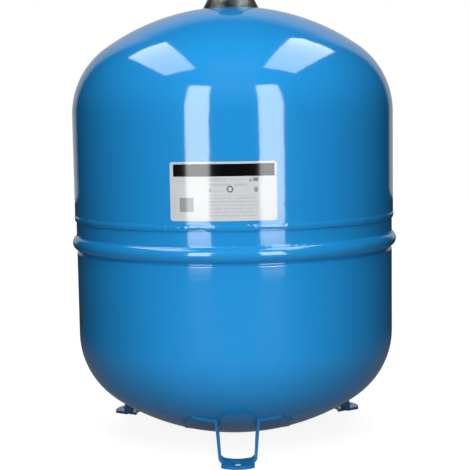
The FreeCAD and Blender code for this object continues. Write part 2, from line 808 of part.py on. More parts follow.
def round_edges(name, base, sizes):
    """Round the edges that a test picks; sizes is a list of test and formula pairs."""
    doc.recompute()
    item = doc.addObject("Part::Fillet", name)
    item.Base = base
    edges = []
    for test, size in sizes:
        for number, edge in enumerate(base.Shape.Edges, start=1):
            if test(edge):
                edges.append((number, amount(size), amount(size)))
    item.Edges = edges
    return item


def make_foot_parts():
    """Half of one strap foot: bent leg, wing that fits the head, and tongue."""
    ring = (amount("lower_ring"), amount("lower_tangent"))
    crown_centre = (0, amount("lower_centre"))
    share = amount("lower_crown") / amount("lower_crown - lower_knuckle")
    wall = amount("strap_wall")

    # The head's outside as a solid, to trim the leg.
    trim_sketch = free_sketch("head_outline", OUT_AND_UP)
    side = amount("lower_radius")
    meet = (ring[0] * share, crown_centre[1] + (ring[1] - crown_centre[1]) * share)
    pen = Outline(trim_sketch, 0, ring[1])
    lid = pen.line(side, ring[1], way="Horizontal")
    knuckle = pen.arc(ring, *meet, left=False, smooth=False)
    crown = pen.arc(crown_centre, 0, amount("head_clearance"), left=False)
    axis = pen.line(0, ring[1], way="Vertical")
    pen.close()
    pen.rule("PointOnObject", axis, 1, -2)
    pen.up(lid, 1, "lower_tangent")
    pen.across(lid, 2, "lower_radius")
    pen.across(knuckle, 3, "lower_ring")
    pen.up(knuckle, 3, "lower_tangent")
    pen.rule("PointOnObject", crown, 3, -2)
    pen.radius(crown, "lower_crown")
    trim = revolve("head_solid", trim_sketch, "trim_turn")

    # Wing: a band of the head's own form, cut to the wing's plan.
    back = amount("hole_circle - leg_back")
    outer_end = amount("hole_circle + tip_reach")
    band_sketch = free_sketch("wing_band_section", OUT_AND_UP)

    def head_height(radius, out):
        crown_size = amount("lower_crown") + out
        if radius < meet[0]:
            return crown_centre[1] - math.sqrt(crown_size ** 2 - radius ** 2)
        return ring[1] - math.sqrt((amount("lower_knuckle") + out) ** 2 - (radius - ring[0]) ** 2)

    far_share = (amount("lower_crown") + wall) / amount("lower_crown - lower_knuckle")
    far_meet = (ring[0] * far_share, crown_centre[1] + (ring[1] - crown_centre[1]) * far_share)
    pen = Outline(band_sketch, back, head_height(back, 0))
    near_crown = pen.arc(crown_centre, *meet)
    near_knuckle = pen.arc(ring, outer_end, head_height(outer_end, 0))
    end = pen.line(outer_end, head_height(outer_end, wall), way="Vertical")
    far_knuckle = pen.arc(ring, *far_meet, left=False, smooth=False)
    far_crown = pen.arc(crown_centre, back, head_height(back, wall), left=False)
    pen.line(back, head_height(back, 0), way="Vertical")
    pen.close()
    pen.rule("Coincident", near_knuckle, 3, far_knuckle, 3)
    pen.rule("Coincident", near_crown, 3, far_crown, 3)
    pen.rule("PointOnObject", near_crown, 3, -2)
    pen.across(near_knuckle, 3, "lower_ring")
    pen.up(near_knuckle, 3, "lower_tangent")
    pen.radius(near_crown, "lower_crown")
    pen.radius(near_knuckle, "lower_knuckle")
    pen.radius(far_crown, "lower_crown + strap_wall")
    pen.across(near_crown, 1, "hole_circle - leg_back")
    pen.across(end, 1, "hole_circle + tip_reach")
    band = revolve("wing_band", band_sketch, "wing_turn")
    leg_middle = ("foot_width / 2 + leg_lean * (1 + leg_back_height / lean_height) / 2"
                  " - strap_wall / 2")
    heel = "hole_circle - leg_back - wing_corner_back"
    plan = flat_outline("wing_plan", SIDE_AND_OUT, [
        (leg_middle, "hole_circle - leg_front"),
        ("wing_front", "hole_circle - leg_front"),
        ("wing_corner", "hole_circle - wing_corner_back"),
        ("wing_heel", heel),
        (leg_middle, heel),
    ])
    wing = combine("Common", "wing", band, extrude("wing_prism", plan, (0, 0, 1), "lower_tangent"))

    # Leg and pad: the strap's front outline, cut to its side outline and trimmed by the head.
    spread = "foot_width / 2 + leg_lean * ({}) / lean_height"
    skin = "strap_wall * sqrt(1 + (leg_lean / lean_height)^2)"
    front = flat_outline("strap_front", SIDE_AND_UP, [
        ("0", "0"),
        ("foot_width / 2", "0"),
        (spread.format("lower_tangent"), "lower_tangent"),
        (spread.format("lower_tangent") + " - " + skin, "lower_tangent"),
        (spread.format("strap_wall") + " - " + skin, "strap_wall"),
        ("0", "strap_wall"),
    ])
    strap = extrude("strap_prism", front, (0, -1, 0), "shell_radius")
    width = amount("foot_width / 2")

    def at_bend(x, z):
        def test(edge):
            middle = edge.CenterOfMass
            along = abs(edge.Vertexes[0].Point.y - edge.Vertexes[-1].Point.y) > wall
            return along and abs(middle.x - x) < 0.01 and abs(middle.z - z) < 0.01
        return test

    bent = round_edges("bent_strap", strap, [
        (at_bend(width, 0.0), "strap_bend"),
        (at_bend(amount(spread.format("strap_wall") + " - " + skin), wall), "strap_bend - strap_wall"),
    ])
    profile = flat_outline("strap_side", OUT_AND_UP, [
        ("hole_circle - leg_back", "leg_back_height"),
        ("hole_circle - pad_back", "strap_wall"),
        ("hole_circle - pad_back", "0"),
        ("hole_circle - pad_front", "0"),
        ("hole_circle - leg_front", "lean_height"),
        ("hole_circle - leg_front", "lower_tangent"),
        ("hole_circle - leg_back", "lower_tangent"),
    ])
    leg = combine("Common", "leg_blank", bent, extrude("side_prism", profile, (1, 0, 0), "shell_radius"))
    leg = combine("Cut", "leg", leg, trim)

    # Tongue with its round tip.
    half = amount("tongue_width / 2")
    root = amount("hole_circle - pad_front - strap_wall")
    corner = amount("hole_circle + tip_corner")
    tip = amount("hole_circle + tip_reach")
    tip_size = (half ** 2 + (tip - corner) ** 2) / (2 * (tip - corner))
    tongue_sketch = free_sketch("tongue_plan", SIDE_AND_OUT)
    pen = Outline(tongue_sketch, 0, root)
    base = pen.line(half, root, way="Horizontal")
    edge = pen.line(half, corner, way="Vertical")
    tip_arc = pen.arc((0, tip - tip_size), 0, tip, smooth=False)
    middle = pen.line(0, root, way="Vertical")
    pen.close()
    pen.rule("PointOnObject", base, 1, -2)
    pen.up(base, 1, "hole_circle - pad_front - strap_wall")
    pen.across(edge, 1, "tongue_width / 2")
    pen.up(edge, 2, "hole_circle + tip_corner")
    pen.rule("PointOnObject", tip_arc, 3, -2)
    pen.up(middle, 1, "hole_circle + tip_reach")
    tongue = extrude("tongue", tongue_sketch, (0, 0, 1), "strap_wall")

    half_foot = combine("MultiFuse", "half_foot", leg, wing, tongue)
    other_half = doc.addObject("Part::Mirroring", "other_half")
    other_half.Source = half_foot
    other_half.Normal = FreeCAD.Vector(1, 0, 0)
    blank = combine("MultiFuse", "foot_blank", half_foot, other_half)
    hole = doc.addObject("Part::Cylinder", "foot_hole")
    bind(hole, Radius="hole_radius", Height="strap_wall")
    hole.setExpression("Placement.Base.y", formula("-hole_circle"))
    return blank, hole


def make_feet():
    """Three equal feet, each with a weld along the inner edge of both wings."""
    blank, hole = make_foot_parts()
    for number, label in enumerate(FOOT_NAMES):
        foot = combine("Cut", label, blank, hole)
        foot.Label = label
        foot.Placement.Rotation = FreeCAD.Rotation(FreeCAD.Vector(0, 0, 1), 360 * number / len(FOOT_NAMES))
        nodes.append(foot)
    weld_sketch = free_sketch("foot_weld_section", OUT_AND_UP)
    edge = amount("hole_circle - leg_back")
    leg = amount("foot_weld_leg")
    centre = (0, amount("lower_centre"))
    crown = amount("lower_crown")

    def height(radius):
        return centre[1] - math.sqrt(crown ** 2 - radius ** 2)

    pen = Outline(weld_sketch, edge - leg, height(edge - leg))
    face = pen.arc(centre, edge, height(edge))
    drop = pen.line(edge, height(edge) - leg, way="Vertical")
    pen.line(edge - leg, height(edge - leg))
    pen.close()
    pen.rule("PointOnObject", face, 3, -2)
    pen.up(face, 3, "lower_centre")
    pen.radius(face, "lower_crown")
    pen.across(face, 1, "hole_circle - leg_back - foot_weld_leg")
    pen.across(face, 2, "hole_circle - leg_back")
    pen.measure("DistanceY", drop, 2, drop, 1, "foot_weld_leg")
    welds = []
    for number in range(len(FOOT_NAMES)):
        for start in (SIZES["foot_weld_start"], -SIZES["foot_weld_start"] - SIZES["foot_weld_turn"]):
            weld = revolve(f"foot_weld_{len(welds) + 1}", weld_sketch, "foot_weld_turn")
            turn = 360 * number / len(FOOT_NAMES) + start
            weld.Placement.Rotation = FreeCAD.Rotation(FreeCAD.Vector(0, 0, 1), turn)
            welds.append(weld)
    group = doc.addObject("Part::Compound", "foot_welds")
    group.Links = welds
    nodes.append(group)


def make_label():
    """Printed film label on the upper shell, with rounded corners."""
    sketch = flat_outline("label_section", OUT_AND_UP, [
        ("shell_radius", "seam + label_bottom"),
        ("shell_radius + label_wall", "seam + label_bottom"),
        ("shell_radius + label_wall", "seam + label_bottom + label_height"),
        ("shell_radius", "seam + label_bottom + label_height"),
    ])
    film = revolve("label_film", sketch, "label_turn")
    film.Placement.Rotation = FreeCAD.Rotation(
        FreeCAD.Vector(0, 0, 1), SIZES["label_middle"] - SIZES["label_turn"] / 2)
    label = round_edges("data_label", film, [
        (lambda edge: edge.Length < 2 * SIZES["label_wall"], "label_corner"),
    ])
    nodes.append(label)


FOOT_NAMES = ("foot_front", "foot_right", "foot_left")
nodes = []
make_dome("upper_shell", "shell_radius", "shell_wall", "seam", "spigot_radius")
make_lower_shell()
make_seam_weld()
make_water_side()
make_air_valve()
make_feet()
make_label()
doc.recompute()

nodes += [item for item in doc.Objects if item.TypeId == "PartDesign::Body"]
for item in doc.Objects:
    if {"Invalid", "Error"} & set(item.State):
        raise RuntimeError(f"{item.Name} did not build: {item.State}")
for node in nodes:
    if node.Shape.isNull() or not node.Shape.isValid() or not node.Shape.Solids:
        raise RuntimeError(f"{node.Label} has no valid solid")

os.makedirs("parts", exist_ok=True)
for node in nodes:
    node.Shape.exportStep(f"parts/{node.Label}.step")
    box = node.Shape.BoundBox
    print(f"{node.Label:20} {len(node.Shape.Solids)} solids {node.Shape.Volume:12.1f} mm3"
          f"  z {box.ZMin:8.2f} to {box.ZMax:8.2f}")
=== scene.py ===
"""Expansion tank for Blender: enamelled vessel on three feet, label, water connection and air valve.

Metres, +Z up, the front foot points to -Y. The tank's lengths are written in millimetres times MM and
the studio's in metres.
"""
import bpy
import bmesh
import math
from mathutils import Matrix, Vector


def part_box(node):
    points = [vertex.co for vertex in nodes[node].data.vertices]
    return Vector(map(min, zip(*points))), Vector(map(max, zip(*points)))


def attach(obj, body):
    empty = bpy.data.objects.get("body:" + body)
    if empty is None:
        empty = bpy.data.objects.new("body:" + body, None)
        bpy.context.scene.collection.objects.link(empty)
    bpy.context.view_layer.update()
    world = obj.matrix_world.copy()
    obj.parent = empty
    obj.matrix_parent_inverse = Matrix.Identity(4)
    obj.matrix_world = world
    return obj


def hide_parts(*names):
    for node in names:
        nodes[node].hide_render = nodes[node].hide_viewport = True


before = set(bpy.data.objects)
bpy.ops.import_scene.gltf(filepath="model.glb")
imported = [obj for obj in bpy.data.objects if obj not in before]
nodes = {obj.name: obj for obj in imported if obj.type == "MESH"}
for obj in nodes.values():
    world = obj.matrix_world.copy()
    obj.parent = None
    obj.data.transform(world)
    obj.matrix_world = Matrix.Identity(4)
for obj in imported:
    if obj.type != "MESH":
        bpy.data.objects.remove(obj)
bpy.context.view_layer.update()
scene = bpy.context.scene

MM = 0.001
SHELL_RADIUS = 190.0 * MM           # outside of the upper shell, under the label
CROWN_RADIUS = 260.0 * MM           # top of the upper head
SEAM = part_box("upper_shell")[0].z   # height of the upper shell's edge
BOSS_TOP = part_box("connection_boss")[1].z
LABEL_LOW, LABEL_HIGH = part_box("data_label")


# Shader helpers

def paint(hex_code):
    """An sRGB hex colour as the linear colour that a shader takes."""
    parts = [int(hex_code[start:start + 2], 16) / 255 for start in (1, 3, 5)]
    return [part / 12.92 if part <= 0.04045 else ((part + 0.055) / 1.055) ** 2.4
            for part in parts] + [1.0]


def add(tree, kind, inputs=None, **settings):
    """Add one node. inputs maps socket names or numbers to values or to sockets that feed them."""
    item = tree.nodes.new("ShaderNode" + kind)
    for name, value in settings.items():
        setattr(item, name, value)
    for socket, value in (inputs or {}).items():
        if isinstance(value, bpy.types.NodeSocket):
            tree.links.new(value, item.inputs[socket])
        else:
            item.inputs[socket].default_value = value
    return item


def new_material(name):
    """An empty material. Returns it, its node tree and a socket with each point's place in metres."""
    material = bpy.data.materials.new(name)
    material.use_nodes = True
    tree = material.node_tree
    tree.nodes.clear()
    place = add(tree, "TexCoord").outputs["Object"]
    return material, tree, place


def finish_material(tree, **inputs):
    """The surface shader and the output. Underscores stand for spaces in the shader's socket names."""
    named = {name.replace("_", " "): value for name, value in inputs.items()}
    shader = add(tree, "BsdfPrincipled", named)
    add(tree, "OutputMaterial", {"Surface": shader.outputs["BSDF"]})


# Materials

def make_enamel(name, peel_size, peel_depth, deep="#1f88cb", pale="#218ccf"):
    """Gloss polyester powder coat: it levels to a skin that mirrors lamps, with a soft orange peel."""
    tone_size = 60 * MM
    wave_size = 26 * MM             # slow waves, which bend the highlights' edges
    wave_depth = 0.05 * MM
    material, tree, place = new_material(name)
    tone = add(tree, "TexNoise", {"Vector": place, "Scale": 1 / tone_size}).outputs["Fac"]
    colour = add(tree, "Mix", {"Factor": tone, "A": paint(deep), "B": paint(pale)},
                 data_type="RGBA").outputs["Result"]
    peel = add(tree, "TexNoise", {"Vector": place, "Scale": 1 / peel_size,
                                  "Detail": 1.0}).outputs["Fac"]
    peeled = add(tree, "Bump", {"Height": peel, "Distance": peel_depth}).outputs["Normal"]
    wave = add(tree, "TexNoise", {"Vector": place, "Scale": 1 / wave_size,
                                  "Detail": 1.0}).outputs["Fac"]
    relief = add(tree, "Bump", {"Height": wave, "Distance": wave_depth,
                                "Normal": peeled}).outputs["Normal"]
    finish_material(tree, Base_Color=colour, Roughness=0.08, IOR=1.58, Normal=relief)
    return material


def make_zinc():
    """Dull zinc coat on steel: mottled by its crystals, with a green-grey passivation film."""
    crystal_size = 5 * MM
    film_size = 12 * MM
    dent_size = 1.2 * MM
    dent_depth = 0.03 * MM
    material, tree, place = new_material("zinc_coat")
    crystals = add(tree, "TexVoronoi", {"Vector": place, "Scale": 1 / crystal_size}).outputs["Color"]
    patch = add(tree, "SeparateXYZ", {"Vector": crystals}).outputs["X"]
    metal = add(tree, "Mix", {"Factor": patch, "A": paint("#5f6663"), "B": paint("#434946")},
                data_type="RGBA").outputs["Result"]
    clouds = add(tree, "TexNoise", {"Vector": place, "Scale": 1 / film_size,
                                    "Detail": 4.0}).outputs["Fac"]
    film = add(tree, "MapRange", {"Value": clouds, "From Min": 0.4,
                                  "From Max": 0.6}).outputs["Result"]
    colour = add(tree, "Mix", {"Factor": film, "A": metal, "B": paint("#33352f")},
                 data_type="RGBA").outputs["Result"]
    dents = add(tree, "TexNoise", {"Vector": place, "Scale": 1 / dent_size,
                                   "Detail": 3.0}).outputs["Fac"]
    relief = add(tree, "Bump", {"Height": dents, "Distance": dent_depth}).outputs["Normal"]
    finish_material(tree, Base_Color=colour, Metallic=0.9, Roughness=0.38, Normal=relief)
    return material


def make_steel(name, tint, turning):
    """Bare steel with fine lines round the axis, left by the die or the lathe."""
    stain_size = 20 * MM
    line_depth = 0.01 * MM
    material, tree, place = new_material(name)
    drawn_out = add(tree, "Mapping", {"Vector": place, "Scale": (0.1, 0.1, 1.0)}).outputs["Vector"]
    lines = add(tree, "TexNoise", {"Vector": drawn_out, "Scale": 1 / turning,
                                   "Detail": 3.0}).outputs["Fac"]
    clouds = add(tree, "TexNoise", {"Vector": place, "Scale": 1 / stain_size,
                                    "Detail": 3.0}).outputs["Fac"]
    stain = add(tree, "MapRange", {"Value": clouds, "From Min": 0.4,
                                   "From Max": 0.75}).outputs["Result"]
    colour = add(tree, "Mix", {"Factor": stain, "A": paint(tint), "B": paint("#6c6a66")},
                 data_type="RGBA").outputs["Result"]
    sheen = add(tree, "MapRange", {"Value": lines, "From Min": 0.3, "From Max": 0.7,
                                   "To Min": 0.28, "To Max": 0.42}).outputs["Result"]
    relief = add(tree, "Bump", {"Height": lines, "Distance": line_depth}).outputs["Normal"]
    finish_material(tree, Base_Color=colour, Metallic=1.0, Roughness=sheen, Normal=relief)
    return material


def make_rubber(name, tint):
    """Matt moulded rubber with a fine pebble and a bloom of pale dust."""
    dust_size = 15 * MM
    pebble_size = 0.5 * MM
    pebble_depth = 0.03 * MM
    material, tree, place = new_material(name)
    clouds = add(tree, "TexNoise", {"Vector": place, "Scale": 1 / dust_size,
                                    "Detail": 4.0}).outputs["Fac"]
    dust = add(tree, "MapRange", {"Value": clouds, "From Min": 0.5, "From Max": 0.8,
                                  "To Max": 0.3}).outputs["Result"]
    colour = add(tree, "Mix", {"Factor": dust, "A": paint(tint), "B": paint("#4a4947")},
                 data_type="RGBA").outputs["Result"]
    pebble = add(tree, "TexNoise", {"Vector": place, "Scale": 1 / pebble_size}).outputs["Fac"]
    relief = add(tree, "Bump", {"Height": pebble, "Distance": pebble_depth}).outputs["Normal"]
    finish_material(tree, Base_Color=colour, Roughness=0.62, IOR=1.5, Normal=relief)
    return material


def make_plastic(name, tint, shade, roughness):
    """Moulded plastic: even colour with faint flow marks and a satin skin."""
    flow_size = 10 * MM
    skin_size = 0.4 * MM
    skin_depth = 0.006 * MM
    material, tree, place = new_material(name)
    flow = add(tree, "TexNoise", {"Vector": place, "Scale": 1 / flow_size,
                                  "Detail": 3.0}).outputs["Fac"]
    colour = add(tree, "Mix", {"Factor": flow, "A": paint(tint), "B": paint(shade)},
                 data_type="RGBA").outputs["Result"]
    skin = add(tree, "TexNoise", {"Vector": place, "Scale": 1 / skin_size,
                                  "Detail": 1.0}).outputs["Fac"]
    relief = add(tree, "Bump", {"Height": skin, "Distance": skin_depth}).outputs["Normal"]
    finish_material(tree, Base_Color=colour, Roughness=roughness, IOR=1.46, Normal=relief)
    return material


def make_brass():
    """Turned brass: bright, with fine tool marks and darker patches of tarnish."""
    tarnish_size = 4 * MM
    mark_pitch = 0.4 * MM
    mark_depth = 0.004 * MM
    material, tree, place = new_material("turned_brass")
    clouds = add(tree, "TexNoise", {"Vector": place, "Scale": 1 / tarnish_size,
                                    "Detail": 3.0}).outputs["Fac"]
    tarnish = add(tree, "MapRange", {"Value": clouds, "From Min": 0.4,
                                     "From Max": 0.7}).outputs["Result"]
    colour = add(tree, "Mix", {"Factor": tarnish, "A": paint("#d8b469"), "B": paint("#a98443")},
                 data_type="RGBA").outputs["Result"]
    sheen = add(tree, "MapRange", {"Value": tarnish, "To Min": 0.22,
                                   "To Max": 0.36}).outputs["Result"]
    height = add(tree, "SeparateXYZ", {"Vector": place}).outputs["Z"]
    phase = add(tree, "Math", {0: height, 1: 2 * math.pi / mark_pitch},
                operation="MULTIPLY").outputs["Value"]
    marks = add(tree, "Math", {0: phase}, operation="SINE").outputs["Value"]
    relief = add(tree, "Bump", {"Height": marks, "Distance": mark_depth}).outputs["Normal"]
    finish_material(tree, Base_Color=colour, Metallic=1.0, Roughness=sheen, Normal=relief)
    return material


# The label's print, in millimetres from the label's left and top edges: left, right, top, bottom, ink.
LABEL_FIELDS = [
    (3.7, 110.7, 2.3, 15.2, "#0a0a0b"),
    (5.0, 24.0, 18.6, 19.8, "#b9bec1"),
    (5.0, 21.5, 22.4, 23.6, "#c3c8ca"),
    (5.0, 25.5, 26.0, 27.0, "#c3c8ca"),
    (5.0, 20.0, 29.6, 30.6, "#c3c8ca"),
    (5.0, 5.4, 29.0, 57.0, "#a9aeb1"),
    (10.5, 25.4, 37.1, 51.7, "#8d9194"),
    (42.3, 60.0, 17.4, 19.4, "#b3b8bb"),
    (63.0, 81.6, 17.4, 19.4, "#bcc1c3"),
    (42.3, 66.0, 22.9, 24.9, "#b3b8bb"),
    (68.5, 81.6, 22.9, 24.9, "#b0b5b8"),
    (84.0, 86.5, 18.0, 21.0, "#8f9497"),
    (88.0, 93.4, 16.9, 20.4, "#7d8285"),
    (89.0, 93.0, 26.6, 31.6, "#8b9093"),
    (42.3, 44.5, 27.6, 31.4, "#9ea3a6"),
    (47.0, 58.5, 29.6, 31.2, "#b9bec1"),
    (71.0, 84.0, 29.6, 31.2, "#bfc4c6"),
]
RING_AT = (63.9, 28.4)
RING_SIZES = (2.0, 3.6)             # inner and outer radius
FINE_PRINT = (41.0, 92.5, 34.6, 58.5)
ROW_PITCH = 3.6
ROW_MIDDLE, ROW_HALF = 0.5, 0.24    # where the dashes lie in a row, as shares of its pitch
ROW_JUMP = 17.0                     # step in the noise from row to row, so that no two rows are alike
WORD_SIZE = 1.8
WORD_GAP, WORD_START = 0.38, 0.42   # noise at which a dash ends and is full


def make_label_film():
    """Gloss polyester film: white, with a black head band and grey fields of fine print."""
    cloud_size = 30 * MM
    ripple_size = 14 * MM
    ripple_depth = 0.01 * MM
    material, tree, place = new_material("label_film")
    at = add(tree, "SeparateXYZ", {"Vector": place}).outputs
    forward = add(tree, "Math", {0: at["Y"], 1: -1.0}, operation="MULTIPLY").outputs["Value"]
    angle = add(tree, "Math", {0: at["X"], 1: forward}, operation="ARCTAN2").outputs["Value"]
    left_angle = math.atan2(LABEL_LOW.x, math.sqrt(SHELL_RADIUS ** 2 - LABEL_LOW.x ** 2))
    turn = add(tree, "Math", {0: angle, 1: left_angle}, operation="SUBTRACT").outputs["Value"]
    across = add(tree, "Math", {0: turn, 1: SHELL_RADIUS / MM},
                 operation="MULTIPLY").outputs["Value"]
    drop = add(tree, "Math", {0: LABEL_HIGH.z, 1: at["Z"]}, operation="SUBTRACT").outputs["Value"]
    down = add(tree, "Math", {0: drop, 1: 1 / MM}, operation="MULTIPLY").outputs["Value"]

    def field(left, right, top, bottom):
        """1 inside a rectangle of the print, 0 outside it."""
        wide = add(tree, "Math", {0: across, 1: (left + right) / 2, 2: (right - left) / 2},
                   operation="COMPARE").outputs["Value"]
        high = add(tree, "Math", {0: down, 1: (top + bottom) / 2, 2: (bottom - top) / 2},
                   operation="COMPARE").outputs["Value"]
        return add(tree, "Math", {0: wide, 1: high}, operation="MULTIPLY").outputs["Value"]

    def print_on(under, share, ink):
        """The film's colour with one more ink on it."""
        return add(tree, "Mix", {"Factor": share, "A": under, "B": paint(ink)},
                   data_type="RGBA").outputs["Result"]

    clouds = add(tree, "TexNoise", {"Vector": place, "Scale": 1 / cloud_size}).outputs["Fac"]
    colour = print_on(paint("#c2c5c6"), clouds, "#c6c9ca")
    for left, right, top, bottom, ink in LABEL_FIELDS:
        colour = print_on(colour, field(left, right, top, bottom), ink)

    ring_across = add(tree, "Math", {0: across, 1: RING_AT[0]}, operation="SUBTRACT").outputs["Value"]
    ring_down = add(tree, "Math", {0: down, 1: RING_AT[1]}, operation="SUBTRACT").outputs["Value"]
    away = add(tree, "CombineXYZ", {"X": ring_across, "Y": ring_down}).outputs["Vector"]
    far = add(tree, "VectorMath", {0: away}, operation="LENGTH").outputs["Value"]
    ring = add(tree, "Math", {0: far, 1: sum(RING_SIZES) / 2, 2: (RING_SIZES[1] - RING_SIZES[0]) / 2},
               operation="COMPARE").outputs["Value"]
    colour = print_on(colour, ring, "#6f7477")

    rows = add(tree, "Math", {0: down, 1: ROW_PITCH}, operation="DIVIDE").outputs["Value"]
    row = add(tree, "Math", {0: rows}, operation="FLOOR").outputs["Value"]
    within = add(tree, "Math", {0: rows}, operation="FRACT").outputs["Value"]
    line = add(tree, "Math", {0: within, 1: ROW_MIDDLE, 2: ROW_HALF},
               operation="COMPARE").outputs["Value"]
    jump = add(tree, "Math", {0: row, 1: ROW_JUMP}, operation="MULTIPLY").outputs["Value"]
    spot = add(tree, "CombineXYZ", {"X": across, "Y": jump}).outputs["Vector"]
    letters = add(tree, "TexNoise", {"Vector": spot, "Scale": 1 / WORD_SIZE,
                                     "Detail": 1.0}).outputs["Fac"]
    words = add(tree, "MapRange", {"Value": letters, "From Min": WORD_GAP,
                                   "From Max": WORD_START}).outputs["Result"]
    dashes = add(tree, "Math", {0: line, 1: words}, operation="MULTIPLY").outputs["Value"]
    fine_print = add(tree, "Math", {0: dashes, 1: field(*FINE_PRINT)},
                     operation="MULTIPLY").outputs["Value"]
    colour = print_on(colour, fine_print, "#b4b9bc")

    ripple = add(tree, "TexNoise", {"Vector": place, "Scale": 1 / ripple_size,
                                    "Detail": 1.0}).outputs["Fac"]
    relief = add(tree, "Bump", {"Height": ripple, "Distance": ripple_depth}).outputs["Normal"]
    finish_material(tree, Base_Color=colour, Roughness=0.1, IOR=1.5, Normal=relief)
    return material


# The shells, the weld and the feet have one powder coat. The feet's copy is made a deeper blue: painted
# shade, for the shade they stand in under the tank. It levels in the same way.
ENAMEL = make_enamel("gloss_powder_coat", 5 * MM, 0.03 * MM)
WELD_ENAMEL = make_enamel("powder_coat_on_weld", 3 * MM, 0.2 * MM)
SHADED_FOOT_ENAMEL = make_enamel("feet_enamel_darkened_as_shade", 5 * MM, 0.03 * MM, "#1973ad", "#1b77b2")
ZINC = make_zinc()
STEEL = make_steel("drawn_steel", "#a3a29e", 1.5 * MM)
SPRING = make_steel("spring_wire", "#b4b3ae", 0.4 * MM)
BUTYL = make_rubber("butyl_rubber", "#1f1f20")
SEAL = make_rubber("seal_rubber", "#161616")
LINER = make_plastic("white_polypropylene", "#e6e6df", "#dedfd8", 0.38)
CAP_PLASTIC = make_plastic("black_nylon", "#191919", "#222223", 0.42)
BRASS = make_brass()
FILM = make_label_film()

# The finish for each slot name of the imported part
FINISHES = {
    "blue_enamel": ENAMEL, "enamelled_weld": WELD_ENAMEL, "zinc_coat": ZINC, "bare_steel": STEEL,
    "butyl_rubber": BUTYL, "seal_rubber": SEAL, "white_polypropylene": LINER, "brass": BRASS,
    "spring_steel": SPRING, "black_plastic": CAP_PLASTIC, "label_film": FILM,
}
for item in nodes.values():
    packed = item.material_slots[0].material.name
    item.material_slots[0].material = FINISHES[packed]


# Modelling helpers

TURNED_STEPS = 128                  # points round a turned piece


def finish_piece(piece, material, angle=30):
    """Give a new piece its material, smooth its faces by angle and let it ride with the vessel."""
    piece.data.materials.append(material)
    bpy.ops.object.shade_smooth_by_angle(angle=math.radians(angle))
    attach(piece, "vessel")


def mend(threshold=1e-6):
    """Merge doubled points of the piece in edit mode, turn its faces outward and leave edit mode."""
    bpy.ops.mesh.select_all(action="SELECT")
    bpy.ops.mesh.remove_doubles(threshold=threshold)
    bpy.ops.mesh.normals_make_consistent(inside=False)
    bpy.ops.object.mode_set(mode="OBJECT")


def turned(name, stations):
    """A turned body: a circle at the first (radius, height) station, extruded through the others."""
    bpy.ops.object.select_all(action="DESELECT")
    first_radius, first_height = stations[0]
    bpy.ops.mesh.primitive_circle_add(vertices=TURNED_STEPS, radius=first_radius,
                                      location=(0, 0, first_height))
    piece = bpy.context.object
    piece.name = name
    bpy.ops.object.transform_apply(location=True, rotation=False, scale=False)
    bpy.ops.object.mode_set(mode="EDIT")
    bpy.ops.mesh.select_all(action="SELECT")
    for (last_radius, last_height), (radius, height) in zip(stations, stations[1:] + stations[:1]):
        bpy.ops.mesh.extrude_region_move(
            TRANSFORM_OT_translate={"value": (0, 0, height - last_height)})
        growth = radius / last_radius
        bpy.ops.transform.resize(value=(growth, growth, 1), center_override=(0, 0, height))
    mend()
    return piece


def roughen(piece, name, size, depth):
    """Push the piece's surface in and out by clouds of one size, and apply it."""
    clouds = bpy.data.textures.new(name, "CLOUDS")
    clouds.noise_scale = size
    clouds.noise_depth = 1
    push = piece.modifiers.new(name, "DISPLACE")
    push.texture = clouds
    push.texture_coords = "LOCAL"
    push.strength = depth
    push.mid_level = 0.5
    bpy.ops.object.modifier_apply(modifier=name)


# Seam weld: a flattened torus, cut finer round the tank for the ripples that the torch leaves

WELD_LOW, WELD_HIGH = (corner.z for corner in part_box("seam_weld"))
WELD_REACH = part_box("seam_weld")[1].x
WELD_TUCK = 186.6 * MM              # inner limit, inside the shells' walls
WELD_MARGIN = 0.1 * MM              # how much slimmer the torus is, which leaves room for the ripples
WELD_STEPS = 256                    # points round the tank, the most that a torus can have
WELD_SIDES = 14                     # points round the weld's section
WELD_LONG_EDGE = 3.5 * MM           # only edges that run round the tank are longer
WELD_CUTS = 3                       # cuts in each of these edges, so that the ripples show
RIPPLE_SIZE, RIPPLE_HEIGHT = 4 * MM, 0.8 * MM
DRIFT_SIZE, DRIFT_HEIGHT = 16 * MM, 0.7 * MM    # how the weld wanders along the seam

bpy.ops.object.select_all(action="DESELECT")
bpy.ops.mesh.primitive_torus_add(
    major_segments=WELD_STEPS, minor_segments=WELD_SIDES,
    major_radius=(WELD_REACH + WELD_TUCK) / 2,
    minor_radius=(WELD_REACH - WELD_TUCK) / 2 - WELD_MARGIN, location=(0, 0, 0))
bead = bpy.context.object
bead.name = "seam_bead"
bpy.ops.object.mode_set(mode="EDIT")
bpy.ops.mesh.select_all(action="SELECT")
bpy.ops.transform.resize(value=(1, 1, (WELD_HIGH - WELD_LOW) / (WELD_REACH - WELD_TUCK)))
bpy.ops.transform.translate(value=(0, 0, (WELD_HIGH + WELD_LOW) / 2))
bpy.ops.mesh.select_all(action="DESELECT")
bpy.ops.mesh.select_mode(type="EDGE")
rings = bmesh.from_edit_mesh(bead.data)
for edge in rings.edges:
    edge.select = edge.calc_length() > WELD_LONG_EDGE
bmesh.update_edit_mesh(bead.data)
bpy.ops.mesh.subdivide(number_cuts=WELD_CUTS)
mend()
roughen(bead, "torch_ripple", RIPPLE_SIZE, RIPPLE_HEIGHT)
roughen(bead, "weld_drift", DRIFT_SIZE, DRIFT_HEIGHT)
finish_piece(bead, WELD_ENAMEL)
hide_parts("seam_weld")


# Water connection: a turned boss, and a ridge wound round it for the G 1 thread

